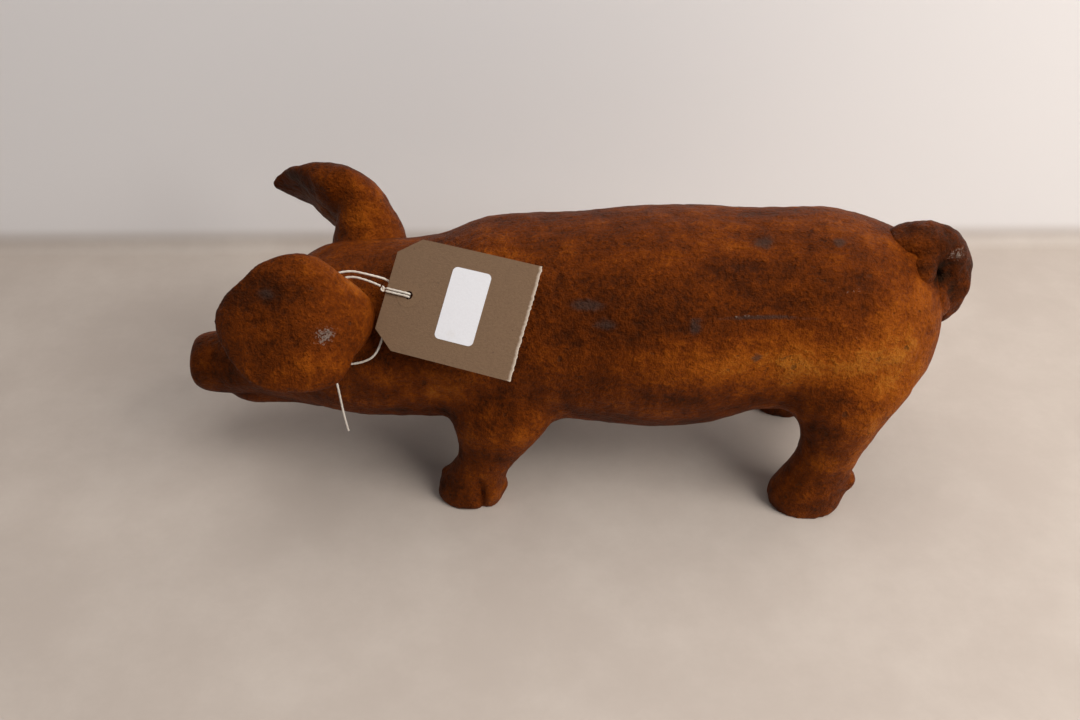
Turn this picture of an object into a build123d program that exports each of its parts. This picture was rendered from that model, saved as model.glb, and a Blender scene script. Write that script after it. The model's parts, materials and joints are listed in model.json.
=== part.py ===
"""A hollow cast-iron pig ornament with a card tag on a string.

Two half castings are screwed together, and they trap a curled tail. The ears are bolted on from inside.
The head points along -X and +Z is up. The origin is on the floor, under the middle of the length.
"""
import math
import os

from build123d import *

os.makedirs("parts", exist_ok=True)

# Body sizes, in millimetres
body_length = 421.5
tail_reach = 9.5
axis_height = 95.0
trunk_width = 122.4
trunk_height = 122.4
wall = 5.0
seat_gap = 0.55

# Head details
jaw_length = 66.0
jaw_height = 58.0
jaw_width = 56.0
jaw_depth = 44.0
jaw_setback = 17.0
nostril_diameter = 5.5
nostril_spacing = 14.0
nostril_depth = 6.0
eye_diameter = 8.0

# Legs
front_leg_height = 100.0
hind_leg_height = 113.0
leg_spread = 90.5
foot_length = 36.0
foot_width = 29.0
hind_foot_length = 39.0
cleft_width = 2.6
cleft_depth = 13.0
cleft_height = 13.0
heel_diameter = 14.0
front_heel_height = 8.5
front_heel_reach = 14.5
hind_heel_height = 18.0
hind_heel_reach = 19.5

# Ears
ear_reach = 60.0
ear_rise = 36.0
ear_width = 69.0
ear_thickness = 35.0
ear_tilt = 33.5
ear_place = 40.3
ear_bolt_diameter = 6.0
ear_bolt_grip = 11.0
ear_bolt_head = 10.0
ear_bolt_head_height = 4.0
washer_diameter = 12.0
washer_thickness = 1.6
pad_height = 3.0
pad_diameter = 18.0
bolt_clearance = 0.2

# Tail
tail_low = 108.0
tail_rise = 40.0
tail_depth = 29.0
tail_thickness = 22.0
tenon_diameter = 8.0
tenon_length = 17.0
tenon_clearance = 0.15
tenon_rise_share = 0.25

# Screws that pull the halves together
screw_diameter = 6.0
screw_engagement = 24.0
screw_head = 11.5
screw_recess = 1.0
screw_slot_width = 1.4
screw_slot_depth = 1.5
screw_point_gap = 2.0
boss_diameter = 15.0
screw_clearance = 0.2

# Tag
tag_length = 78.0
tag_width = 60.0
tag_clip_length = 12.0
tag_clip_width = 9.2
card_thickness = 0.5
tag_gap = 5.0
tag_back = 31.8
tag_drop = 4.5
tag_hole_diameter = 4.4
tag_hole_inset = 13.0
patch_diameter = 13.0
patch_thickness = 0.25
sticker_length = 38.1
sticker_width = 21.2
sticker_corner = 2.6
sticker_thickness = 0.15
sticker_inset = 43.3
sticker_rise = 1.0

# String
string_diameter = 1.2
strand_spacing = 1.5
knot_diameter = 3.2
knot_gap = 0.3
knot_setback = 1.5
hitch_bend = 1.0
hitch_clearance = 0.3

overall_length = body_length + tail_reach
snout_x = -overall_length / 2
rump_x = snout_x + body_length
overrun = wall

# Stations of the body from snout to rump: distance from the snout, height of the axis, width and height,
# as shares of the body's length, the axis height, the trunk's width and its height
body_shares = {
    "snout": (0.000, 0.589, 0.196, 0.196),
    "snout_edge": (0.0035, 0.590, 0.236, 0.236),
    "snout_rim": (0.011, 0.590, 0.262, 0.272),
    "snout_back": (0.032, 0.592, 0.281, 0.303),
    "nose": (0.053, 0.614, 0.307, 0.336),
    "muzzle": (0.084, 0.680, 0.384, 0.400),
    "cheek": (0.120, 0.758, 0.507, 0.507),
    "brow": (0.155, 0.821, 0.621, 0.629),
    "crown": (0.196, 0.863, 0.719, 0.743),
    "ear": (0.246, 0.874, 0.784, 0.814),
    "neck": (0.298, 0.889, 0.809, 0.825),
    "nape": (0.343, 0.911, 0.833, 0.833),
    "shoulder": (0.395, 0.968, 0.899, 0.905),
    "chest": (0.450, 0.992, 0.925, 0.925),
    "ribs": (0.528, 1.005, 0.944, 0.944),
    "belly": (0.632, 1.015, 1.000, 1.000),
    "paunch": (0.711, 1.042, 0.956, 0.956),
    "waist": (0.763, 1.079, 0.899, 0.899),
    "loin": (0.832, 1.084, 0.907, 0.907),
    "croup": (0.891, 1.074, 0.850, 0.858),
    "rump": (0.936, 1.078, 0.727, 0.720),
    "buttock": (0.967, 1.090, 0.560, 0.535),
    "tail_root": (0.979, 1.100, 0.400, 0.365),
    "rump_end": (0.991, 1.118, 0.160, 0.160),
}
stations = tuple(body_shares)
screw_stations = ("neck", "belly", "loin")

# Stations of the lower jaw: distance back from the chin, height, width and depth, as shares of the
# jaw's sizes
jaw_shares = (
    (0.000, 0.741, 0.16, 0.14),
    (0.050, 0.738, 0.32, 0.33),
    (0.180, 0.729, 0.46, 0.50),
    (0.440, 0.784, 0.61, 0.61),
    (0.700, 0.879, 0.79, 0.77),
    (1.000, 1.017, 1.00, 1.00),
)

# Stations of a leg from the top down: height as a share of the leg's height, place along the body as a
# share of its length, distance from the middle as a share of half the spread, length and width as shares
# of the foot's
front_leg_shares = (
    (1.00, 0.4425, 0.660, 1.540, 1.100),
    (0.65, 0.4352, 0.900, 1.580, 1.241),
    (0.43, 0.4222, 0.985, 1.190, 1.103),
    (0.26, 0.4055, 1.005, 0.890, 0.966),
    (0.12, 0.3903, 1.000, 1.000, 1.000),
    (0.00, 0.3855, 1.000, 1.000, 1.000),
)
hind_leg_shares = (
    (1.00, 0.8660, 0.620, 1.060, 0.900),
    (0.735, 0.8630, 0.880, 1.600, 1.379),
    (0.434, 0.8625, 0.965, 0.945, 1.138),
    (0.283, 0.8530, 0.980, 0.860, 1.000),
    (0.124, 0.8405, 0.968, 1.040, 1.069),
    (0.00, 0.8375, 0.968, 1.000, 1.069),
)

# Stations of an ear from its root to its tip: forward as a share of the reach, outward as a share of the
# rise, width and thickness as shares of the ear's
ear_shares = (
    (0.075, -0.203, 0.522, 1.000),
    (0.067, 0.176, 0.551, 0.960),
    (0.115, 0.585, 0.770, 0.820),
    (0.300, 0.890, 0.960, 0.590),
    (0.583, 0.985, 0.985, 0.370),
    (0.833, 0.965, 0.754, 0.235),
    (0.975, 0.925, 0.390, 0.145),
    (1.030, 0.895, 0.130, 0.090),
)

# Line of the tail from inside the rump, up and over and back into it: distance forward of its rearmost
# point as a share of its depth, height as a share of its rise
tail_shares = (
    (1.150, 0.520),
    (0.610, 1.000),
    (0.290, 0.900),
    (0.070, 0.660),
    (0.000, 0.400),
    (0.110, 0.140),
    (0.380, 0.000),
)

# Directions of the tag as it lies on the shoulder: along its length and out of its face
tag_along_shares = (0.9452, -0.3263, -0.0120)
tag_out_shares = (-0.2204, -0.6647, 0.7139)

# Route of the string: from the knot twice round the ear's stalk, with a pass under the tag, and down to
# its cut end
string_route = (
    (-96.6, -30.5, 133.0),
    (-102.9, -27.0, 133.7),
    (-113.7, -25.0, 135.4),
    (-125.5, -28.9, 131.2),
    (-133.1, -35.6, 123.9),
    (-134.2, -42.5, 113.4),
    (-129.6, -47.7, 102.3),
    (-117.9, -51.1, 96.9),
    (-106.7, -52.1, 98.4),
    (-97.2, -51.0, 103.6),
    (-93.1, -40.4, 118.5),
    (-88.1, -33.9, 126.2),
    (-90.7, -26.3, 133.4),
    (-102.8, -26.2, 137.0),
    (-114.6, -24.3, 138.3),
    (-128.4, -28.1, 134.6),
    (-137.4, -36.1, 125.8),
    (-138.4, -44.5, 113.1),
    (-131.7, -49.6, 101.8),
    (-122.3, -52.5, 96.0),
    (-119.9, -54.5, 88.2),
    (-118.7, -56.0, 77.2),
    (-118.0, -56.2, 65.8),
    (-116.9, -55.4, 54.4),
)
arc_share = 0.45


def body_station(station):
    """Place along X, height of the axis, half width and half height of one station of the body."""
    along, height, width, depth = body_shares[station]
    return (
        snout_x + along * body_length,
        height * axis_height,
        width * trunk_width / 2,
        depth * trunk_height / 2,
    )


def oval(plane, middle, half_length, half_width):
    """An ellipse on a plane, as one section of a loft."""
    with BuildSketch(plane) as section:
        with Locations(middle):
            Ellipse(half_length, half_width)
    return section.sketch


def body_form(first, last, grow, mode=Mode.ADD):
    """Loft the body from one station to another, with every ellipse grown by the same amount."""
    sections = []
    for station in stations[stations.index(first) : stations.index(last) + 1]:
        x, z, half_width, half_height = body_station(station)
        sections.append(oval(Plane.YZ.offset(x), (0, z), half_width + grow, half_height + grow))
    loft(sections, mode=mode)


def jaw_form():
    """Loft the lower jaw, which starts behind the snout and runs into the throat."""
    sections = []
    for along, height, width, depth in jaw_shares:
        plane = Plane.YZ.offset(snout_x + jaw_setback + along * jaw_length)
        sections.append(oval(plane, (0, height * jaw_height), width * jaw_width / 2, depth * jaw_depth / 2))
    loft(sections)


def leg_form(leg_shares, height, length):
    """Loft a left leg through level ellipses from inside the trunk down to its flat sole."""
    sections = []
    for rise, along, out, long_share, wide_share in leg_shares:
        middle = (snout_x + along * body_length, -out * leg_spread / 2)
        plane = Plane.XY.offset(rise * height)
        sections.append(oval(plane, middle, long_share * length / 2, wide_share * foot_width / 2))
    loft(sections)


def foot_middle(leg_shares):
    """Middle of a left sole."""
    along, out = leg_shares[-1][1:3]
    return snout_x + along * body_length, -out * leg_spread / 2


# The left ear's own directions: its root on the head, outward along the stalk, and across the flap
ear_x, ear_axis_z, ear_half_width, ear_half_height = body_station("ear")
ear_out = Vector(0, -math.cos(math.radians(ear_tilt)), math.sin(math.radians(ear_tilt)))
ear_across = Vector(0, math.sin(math.radians(ear_tilt)), math.cos(math.radians(ear_tilt)))
ear_root = Vector(
    ear_x - ear_shares[0][0] * ear_reach,
    -ear_half_width * math.cos(math.radians(ear_place)),
    ear_axis_z + ear_half_height * math.sin(math.radians(ear_place)),
)
bolt_plane = Plane(ear_root, x_dir=ear_across, z_dir=ear_out)
pad_level = -wall - pad_height
washer_level = pad_level - washer_thickness


def ear_spine(index):
    """Forward and outward distance of one station of the ear, from its root."""
    forward, outward = ear_shares[index][:2]
    return (forward - ear_shares[0][0]) * ear_reach, outward * ear_rise


def ear_plane(index):
    """Plane of one section of the left ear, square to the line between its neighbours."""
    forward, outward = ear_spine(index)
    before = ear_spine(max(index - 1, 0))
    after = ear_spine(min(index + 1, len(ear_shares) - 1))
    heading = Vector(-1, 0, 0) * (after[0] - before[0]) + ear_out * (after[1] - before[1])
    origin = ear_root + Vector(-1, 0, 0) * forward + ear_out * outward
    return Plane(origin, x_dir=ear_across, z_dir=heading)


# The tail's rearmost middle, and the tenon that the halves trap
tail_rear_x = rump_x + tail_reach - tail_thickness / 2
tenon_z = tail_low + tenon_rise_share * tail_rise
tenon_end_x = rump_x - tenon_length

# A left half without its fixings: skin, jaw, legs, cavity, screw bosses, bolt pad, eye, nostril and
# tenon hole
with BuildPart() as half_blank:
    body_form("snout", "rump_end", 0)
    jaw_form()
    for leg_shares, leg_height, length, heel_height, heel_reach in (
        (front_leg_shares, front_leg_height, foot_length, front_heel_height, front_heel_reach),
        (hind_leg_shares, hind_leg_height, hind_foot_length, hind_heel_height, hind_heel_reach),
    ):
        leg_form(leg_shares, leg_height, length)
        foot_x, foot_y = foot_middle(leg_shares)
        with Locations((foot_x + heel_reach, foot_y, heel_height)):
            Sphere(heel_diameter / 2)
        with Locations((foot_x - length / 2, foot_y, 0)):
            Box(2 * cleft_depth, cleft_width, 2 * cleft_height, mode=Mode.SUBTRACT)
    brow_x, brow_z, brow_half_width, brow_half_height = body_station("brow")
    with Locations((brow_x, -brow_half_width + eye_diameter / 4, brow_z + eye_diameter)):
        Sphere(eye_diameter / 2)
    split(bisect_by=Plane.XZ, keep=Keep.TOP)
    body_form("muzzle", "rump", -wall, mode=Mode.SUBTRACT)
    for station in screw_stations:
        x, z, half_width, half_height = body_station(station)
        with BuildSketch(Plane.XZ):
            with Locations((x, z)):
                Circle(boss_diameter / 2)
        extrude(amount=half_width - wall / 2)
    with BuildSketch(bolt_plane.offset(pad_level)):
        Circle(pad_diameter / 2)
    extrude(amount=pad_height + wall / 2)
    with Locations(bolt_plane):
        Hole(ear_bolt_diameter / 2 + bolt_clearance, depth=wall + pad_height + overrun)
        Cylinder(ear_bolt_diameter / 2 + bolt_clearance, 2 * overrun, mode=Mode.SUBTRACT)
    snout_z = body_station("snout")[1]
    with Locations(Plane((snout_x, -nostril_spacing / 2, snout_z), z_dir=(-1, 0, 0))):
        Hole(nostril_diameter / 2, depth=nostril_depth)
    with Locations(Plane((rump_x + overrun, 0, tenon_z), z_dir=(1, 0, 0))):
        Hole(tenon_diameter / 2 + tenon_clearance, depth=tenon_length + tenon_clearance + overrun)

# The left half takes the screws' threads
with BuildPart() as left_half:
    add(half_blank.part)
    for station in screw_stations:
        x, z, half_width, half_height = body_station(station)
        with Locations(Plane((x, 0, z), z_dir=(0, 1, 0))):
            Hole(screw_diameter / 2 + screw_clearance, depth=screw_engagement)
left_half.part.label = "left_half"
export_step(left_half.part, "parts/left_half.step")

# The right half is its mirror image, drilled right through and countersunk
with BuildPart() as right_half:
    mirror(half_blank.part, about=Plane.XZ)
    for station in screw_stations:
        x, z, half_width, half_height = body_station(station)
        with Locations(Plane((x, half_width - screw_recess, z), z_dir=(0, 1, 0))):
            CounterSinkHole(
                screw_diameter / 2 + screw_clearance,
                screw_head / 2 + screw_clearance,
                depth=half_width,
                counter_sink_angle=90,
            )
right_half.part.label = "right_half"
export_step(right_half.part, "parts/right_half.step")

# Three slotted countersunk screws, their heads just under the right flank
with BuildPart() as tie_screws:
    for station in screw_stations:
        x, z, half_width, half_height = body_station(station)
        head_height = (screw_head - screw_diameter) / 2
        shank_length = half_width - screw_recess + screw_engagement - screw_point_gap
        with Locations(Plane((x, half_width - screw_recess, z), z_dir=(0, 1, 0))):
            Cylinder(screw_diameter / 2, shank_length, align=(Align.CENTER, Align.CENTER, Align.MAX))
            Cone(
                screw_diameter / 2,
                screw_head / 2,
                head_height,
                align=(Align.CENTER, Align.CENTER, Align.MAX),
            )
            Box(2 * screw_head, screw_slot_width, 2 * screw_slot_depth, mode=Mode.SUBTRACT)
tie_screws.part.label = "tie_screws"
export_step(tie_screws.part, "parts/tie_screws.step")

# An ear: a flap that rises from a thick stalk and bends forward, seated on the head and tapped for its
# bolt
with BuildPart() as left_ear:
    ear_sections = []
    for index, (forward, outward, wide_share, thick_share) in enumerate(ear_shares):
        half_flap = wide_share * ear_width / 2
        ear_sections.append(oval(ear_plane(index), (0, 0), half_flap, thick_share * ear_thickness / 2))
    loft(ear_sections)
    body_form("snout", "rump_end", seat_gap, mode=Mode.SUBTRACT)
    with Locations(bolt_plane.offset(ear_bolt_grip + bolt_clearance)):
        Hole(ear_bolt_diameter / 2 + bolt_clearance, depth=ear_bolt_grip + overrun)
left_ear.part.label = "left_ear"
export_step(left_ear.part, "parts/left_ear.step")

with BuildPart() as right_ear:
    mirror(left_ear.part, about=Plane.XZ)
right_ear.part.label = "right_ear"
export_step(right_ear.part, "parts/right_ear.step")

# Hex bolts and washers that hold the ears from inside the head
with BuildPart() as ear_washers:
    with BuildSketch(bolt_plane.offset(washer_level)):
        Circle(washer_diameter / 2)
        Circle(ear_bolt_diameter / 2 + bolt_clearance, mode=Mode.SUBTRACT)
    extrude(amount=washer_thickness)
    mirror(about=Plane.XZ)
ear_washers.part.label = "ear_washers"
export_step(ear_washers.part, "parts/ear_washers.step")

with BuildPart() as ear_bolts:
    with BuildSketch(bolt_plane.offset(washer_level - ear_bolt_head_height)):
        RegularPolygon(ear_bolt_head / 2, 6, major_radius=False)
    extrude(amount=ear_bolt_head_height)
    with BuildSketch(bolt_plane.offset(washer_level)):
        Circle(ear_bolt_diameter / 2)
    extrude(amount=ear_bolt_grip - washer_level)
    mirror(about=Plane.XZ)
ear_bolts.part.label = "ear_bolts"
export_step(ear_bolts.part, "parts/ear_bolts.step")

# The tail: a thick curl that leaves the rump, turns over and comes back to it, with a tenon into the seam
with BuildPart() as tail:
    tail_points = []
    for forward, rise in tail_shares:
        tail_points.append((tail_rear_x - forward * tail_depth, tail_low + rise * tail_rise))
    with BuildLine(Plane.XZ) as tail_line:
        Spline(*tail_points)
    with BuildSketch(Plane(tail_line.line @ 0, z_dir=tail_line.line % 0)):
        Circle(tail_thickness / 2)
    sweep()
    body_form("snout", "rump_end", seat_gap, mode=Mode.SUBTRACT)
    with Locations(Plane((tenon_end_x, 0, tenon_z), z_dir=(1, 0, 0))):
        Cylinder(
            tenon_diameter / 2,
            rump_x - tenon_end_x,
            align=(Align.CENTER, Align.CENTER, Align.MIN),
        )
tail.part.label = "tail"
export_step(tail.part, "parts/tail.step")

# The tag's plane is the underside of the card, a small gap above the shoulder
tag_along = Vector(*tag_along_shares)
tag_out = Vector(*tag_out_shares)
tag_across = tag_out.cross(tag_along)
seat_x, seat_z, seat_half_width, seat_half_height = body_station("shoulder")
seat_reach = math.hypot(seat_half_width * tag_out.Y, seat_half_height * tag_out.Z)
tag_origin = (
    Vector(seat_x, 0, seat_z)
    + tag_out * (seat_reach + tag_gap)
    - tag_along * tag_back
    - tag_across * tag_drop
)
tag_plane = Plane(tag_origin, x_dir=tag_along, z_dir=tag_out)

with BuildPart() as tag_card:
    with BuildSketch(tag_plane):
        with BuildLine():
            Polyline(
                (0, tag_width / 2 - tag_clip_width),
                (tag_clip_length, tag_width / 2),
                (tag_length, tag_width / 2),
                (tag_length, -tag_width / 2),
                (tag_clip_length, -tag_width / 2),
                (0, tag_clip_width - tag_width / 2),
                close=True,
            )
        make_face()
        with Locations((tag_hole_inset, 0)):
            Circle(tag_hole_diameter / 2, mode=Mode.SUBTRACT)
    extrude(amount=card_thickness)
tag_card.part.label = "tag_card"
export_step(tag_card.part, "parts/tag_card.step")

with BuildPart() as tag_patch:
    with BuildSketch(tag_plane.offset(card_thickness)):
        with Locations((tag_hole_inset, 0)):
            Circle(patch_diameter / 2)
            Circle(tag_hole_diameter / 2, mode=Mode.SUBTRACT)
    extrude(amount=patch_thickness)
tag_patch.part.label = "tag_patch"
export_step(tag_patch.part, "parts/tag_patch.step")

with BuildPart() as tag_sticker:
    with BuildSketch(tag_plane.offset(card_thickness)):
        with Locations((sticker_inset, sticker_rise)):
            RectangleRounded(sticker_width, sticker_length, sticker_corner)
    extrude(amount=sticker_thickness)
tag_sticker.part.label = "tag_sticker"
export_step(tag_sticker.part, "parts/tag_sticker.step")

# The knot sits just off the tag's end, level with the strands on the tag's face
strand_level = card_thickness + patch_thickness + string_diameter / 2 + hitch_clearance
knot_middle = tag_origin - tag_along * knot_setback + tag_out * strand_level
with BuildPart() as string_knot:
    with Locations(knot_middle):
        Sphere(knot_diameter / 2)
string_knot.part.label = "string_knot"
export_step(string_knot.part, "parts/string_knot.step")

# Two strands of the hitch: over the face, down through the hole and back under the card
strand_start = knot_diameter / 2 + knot_gap - knot_setback
under_level = -string_diameter / 2 - hitch_clearance
with BuildPart() as string_hitch:
    for side in (-1, 1):
        strand_origin = tag_origin + tag_across * (side * strand_spacing / 2)
        strand_plane = Plane(strand_origin, x_dir=tag_along, z_dir=-tag_across)
        with BuildLine(strand_plane) as strand_line:
            FilletPolyline(
                (strand_start, strand_level),
                (tag_hole_inset, strand_level),
                (tag_hole_inset, under_level),
                (strand_start, under_level),
                radius=hitch_bend,
            )
        with BuildSketch(Plane(strand_line.line @ 0, z_dir=strand_line.line % 0)):
            Circle(string_diameter / 2)
        sweep()
string_hitch.part.label = "string_hitch"
export_step(string_hitch.part, "parts/string_hitch.step")

# The string's tube: straight runs joined by arcs as large as the runs allow
route = [Vector(*point) for point in string_route]
bends = []
for before, corner, after in zip(route, route[1:], route[2:]):
    turn = (corner - before).get_angle(after - corner)
    shorter = min((corner - before).length, (after - corner).length)
    bends.append(arc_share * shorter / math.tan(math.radians(turn / 2)))
with BuildPart() as string_loop:
    with BuildLine() as string_line:
        FilletPolyline(*route, radius=bends)
    with BuildSketch(Plane(string_line.line @ 0, z_dir=string_line.line % 0)):
        Circle(string_diameter / 2)
    sweep()
string_loop.part.label = "string_loop"
export_step(string_loop.part, "parts/string_loop.step")
print("string bend radii", [round(bend, 1) for bend in bends])
section_area = math.pi * string_diameter**2 / 4
string_length = sum(edge.length for edge in string_line.line.edges())
print("string length", round(string_length, 1))
print("string volume share of section times length", string_loop.part.volume / (section_area * string_length))
print("knot", knot_middle, "along", tag_along, "across", tag_across, "out", tag_out)
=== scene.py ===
# %% [markdown]
# # A rusted iron pig and its card tag
# The pig is a hollow iron casting in two screwed halves, with bolted ears, a curled tail and a blank tag
# on a cotton string. The CAD model gives every piece its place and size, and this lesson gives it its
# looks. All lengths are in metres, in the CAD model's own frame: the snout points along -X and the floor
# is at Z = 0.

# %% Load the frame
import json
import math

import bmesh
import bpy
import numpy as np
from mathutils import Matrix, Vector


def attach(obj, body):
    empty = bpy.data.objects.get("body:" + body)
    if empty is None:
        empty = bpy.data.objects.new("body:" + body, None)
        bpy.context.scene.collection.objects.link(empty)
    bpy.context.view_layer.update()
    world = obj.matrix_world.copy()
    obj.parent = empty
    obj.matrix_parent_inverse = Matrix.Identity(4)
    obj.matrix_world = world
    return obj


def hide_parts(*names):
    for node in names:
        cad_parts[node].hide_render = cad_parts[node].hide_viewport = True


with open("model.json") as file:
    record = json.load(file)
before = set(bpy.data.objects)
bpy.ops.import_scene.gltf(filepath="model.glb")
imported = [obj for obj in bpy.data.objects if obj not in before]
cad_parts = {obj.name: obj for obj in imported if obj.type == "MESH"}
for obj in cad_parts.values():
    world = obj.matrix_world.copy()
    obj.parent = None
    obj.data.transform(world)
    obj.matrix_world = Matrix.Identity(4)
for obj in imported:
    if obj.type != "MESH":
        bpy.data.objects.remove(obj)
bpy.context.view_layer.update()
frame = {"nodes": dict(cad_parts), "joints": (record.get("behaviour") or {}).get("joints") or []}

# %% [markdown]
# ## Camera
# The picture was taken from above the pig's left side with a short lens. The floor line, the level back
# and the mirrored ears give the angle, and the focal length is written in pixels of a 1080 by 720 frame.

# %% Camera
FRAME_WIDTH = 1080
FOCAL_PIXELS = 1150
LOOK_AT = Vector((-0.015, 0.0, 0.063))
ELEVATION = math.radians(38.0)
AZIMUTH = math.radians(2.3)
DISTANCE = 0.66

toward_camera = Vector((
    math.cos(ELEVATION) * math.sin(AZIMUTH),
    -math.cos(ELEVATION) * math.cos(AZIMUTH),
    math.sin(ELEVATION),
))
lens = bpy.data.cameras.new("camera")
lens.sensor_width = 36.0
lens.lens = lens.sensor_width * FOCAL_PIXELS / FRAME_WIDTH
camera = bpy.data.objects.new("camera", lens)
camera.location = LOOK_AT + DISTANCE * toward_camera
camera.rotation_euler = (-toward_camera).to_track_quat("-Z", "Y").to_euler()
bpy.context.scene.collection.objects.link(camera)
bpy.context.scene.camera = camera
print("camera at", [round(x, 3) for x in camera.location], "lens", round(lens.lens, 1), "mm")

# %% [markdown]
# ## Shader maths in Python
# A finish is a graph of nodes, and long graphs are easier to read as formulas. `Value` wraps one output
# socket, so that `1 - mask * 0.5` adds its own Math nodes. `Finish` owns a material, and its one method
# `node` makes every other kind of node.

# %% Values and finishes
class Value:
    """One output socket of a finish. Operators on it add Math nodes."""

    def __init__(self, finish, socket):
        self.finish = finish
        self.socket = socket

    def maths(self, operation, first, second):
        """A Math node on two numbers or Values."""
        return self.finish.node("ShaderNodeMath", {"operation": operation}, {0: first, 1: second})

    def __add__(self, other):
        return self.maths("ADD", self, other)

    def __radd__(self, other):
        return self.maths("ADD", other, self)

    def __sub__(self, other):
        return self.maths("SUBTRACT", self, other)

    def __rsub__(self, other):
        return self.maths("SUBTRACT", other, self)

    def __mul__(self, other):
        return self.maths("MULTIPLY", self, other)

    def __rmul__(self, other):
        return self.maths("MULTIPLY", other, self)


class Finish:
    """A material made of one Principled shader and the nodes that feed it."""

    def __init__(self, name):
        self.material = bpy.data.materials.new(name)
        self.material.use_nodes = True
        self.tree = self.material.node_tree
        self.shader = self.tree.nodes["Principled BSDF"]

    def node(self, kind, settings=None, inputs=None, output=0):
        """Add a node, set its properties, then its sockets, and return one of its outputs as a Value."""
        made = self.tree.nodes.new(kind)
        for key, setting in (settings or {}).items():
            if key == "stops":
                self.set_stops(made.color_ramp, setting)
            else:
                setattr(made, key, setting)
        for key, given in (inputs or {}).items():
            self.feed(made.inputs[key], given)
        return Value(self, made.outputs[output])

    def set_stops(self, ramp, stops):
        """Give a ramp its stops, each a place and a colour."""
        while len(ramp.elements) < len(stops):
            ramp.elements.new(1.0)
        for element, (place, colour) in zip(ramp.elements, stops):
            element.position = place
            element.color = (*colour, 1.0)

    def feed(self, socket, given):
        """Link a Value to a socket, or set a plain number, vector or colour on it."""
        if isinstance(given, Value):
            self.tree.links.new(given.socket, socket)
        elif isinstance(given, tuple) and socket.type == "RGBA":
            socket.default_value = (*given, 1.0)
        else:
            socket.default_value = given

    def place(self):
        """Object coordinates, which are the CAD model's own metres."""
        return self.node("ShaderNodeTexCoord", output="Object")

    def stretched(self, place, scale):
        """A place with its axes scaled. A small scale draws a pattern out along that axis."""
        return self.node("ShaderNodeMapping", {}, {"Vector": place, "Scale": scale})

    def noise(self, place, per_metre, detail=4.0, roughness=0.55):
        """Fractal noise from 0 to 1, with about so many patches to the metre."""
        sockets = {"Vector": place, "Scale": per_metre, "Detail": detail, "Roughness": roughness}
        return self.node("ShaderNodeTexNoise", {}, sockets, "Fac")

    def ramp(self, value, low, high):
        """0 below low, 1 above high, and a smooth step between."""
        settings = {"interpolation_type": "SMOOTHSTEP"}
        return self.node("ShaderNodeMapRange", settings, {"Value": value, "From Min": low, "From Max": high})

    def mix(self, share, first, second):
        """The first colour where the share is 0, the second where it is 1, and a blend between."""
        return self.node("ShaderNodeMix", {"data_type": "RGBA"}, {0: share, 6: first, 7: second}, 2)

    def paint(self, name):
        """A number that the mesh carries at each of its points."""
        return self.node("ShaderNodeAttribute", {"attribute_name": name}, output="Fac")

    def bump(self, height, depth, under=None):
        """A normal tilted by a height from 0 to 1, at a depth in metres, over another normal."""
        sockets = {"Height": height, "Distance": depth, "Strength": 1.0}
        if under is not None:
            sockets["Normal"] = under
        return self.node("ShaderNodeBump", {}, sockets)

    def finish(self, **sockets):
        """Feed the shader, with spaces in socket names written as underscores."""
        for key, given in sockets.items():
            self.feed(self.shader.inputs[key.replace("_", " ")], given)
        return self.material


print("finish helpers ready")

# %% [markdown]
# ## Stage
# The pig stands on a pale board in front of a white wall. One sheet does both: its profile runs along the
# floor, turns up in a small arc and rises behind, and numpy carries that profile sideways. The sheet is
# clear from behind, so that the pig can be looked at from every side.

# %% Floor and wall
WALL_Y = 0.222
WALL_TURN = math.radians(3.0)
COVE = 0.012
STAGE_HALF_WIDTH = 1.6
STAGE_FRONT = -1.6
STAGE_TOP = 1.5
FLOOR_TONES = ((0.44, 0.375, 0.325), (0.50, 0.435, 0.38))
WALL_TONE = (0.80, 0.77, 0.76)


def grid_mesh(name, points, close_rows=False, close_columns=False):
    """A mesh of quads over an array of points, rows by columns, with either direction closed into a ring."""
    rows, columns = points.shape[:2]
    index = np.arange(rows * columns).reshape(rows, columns)
    if close_rows:
        index = np.vstack([index, index[:1]])
    if close_columns:
        index = np.hstack([index, index[:, :1]])
    corners = (index[:-1, :-1], index[:-1, 1:], index[1:, 1:], index[1:, :-1])
    quads = np.stack([corner.ravel() for corner in corners], axis=1)
    mesh = bpy.data.meshes.new(name)
    mesh.from_pydata(points.reshape(-1, 3).tolist(), [], quads.tolist())
    mesh.update()
    return mesh


turn = np.linspace(0, math.pi / 2, 9)
profile_y = np.concatenate([[STAGE_FRONT], WALL_Y - COVE + COVE * np.sin(turn), [WALL_Y]])
profile_z = np.concatenate([[0.0], COVE - COVE * np.cos(turn), [STAGE_TOP]])
across = np.linspace(-STAGE_HALF_WIDTH, STAGE_HALF_WIDTH, 5)
sheet = np.zeros((len(profile_y), len(across), 3))
sheet[..., 0] = across
sheet[..., 1] = profile_y[:, None] + np.where(profile_y > 0, 1, 0)[:, None] * across * math.tan(WALL_TURN)
sheet[..., 2] = profile_z[:, None]
board = bpy.data.objects.new("board", grid_mesh("board", sheet))
board.data.shade_smooth()
bpy.context.scene.collection.objects.link(board)
print("board of", len(board.data.polygons), "faces")

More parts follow.
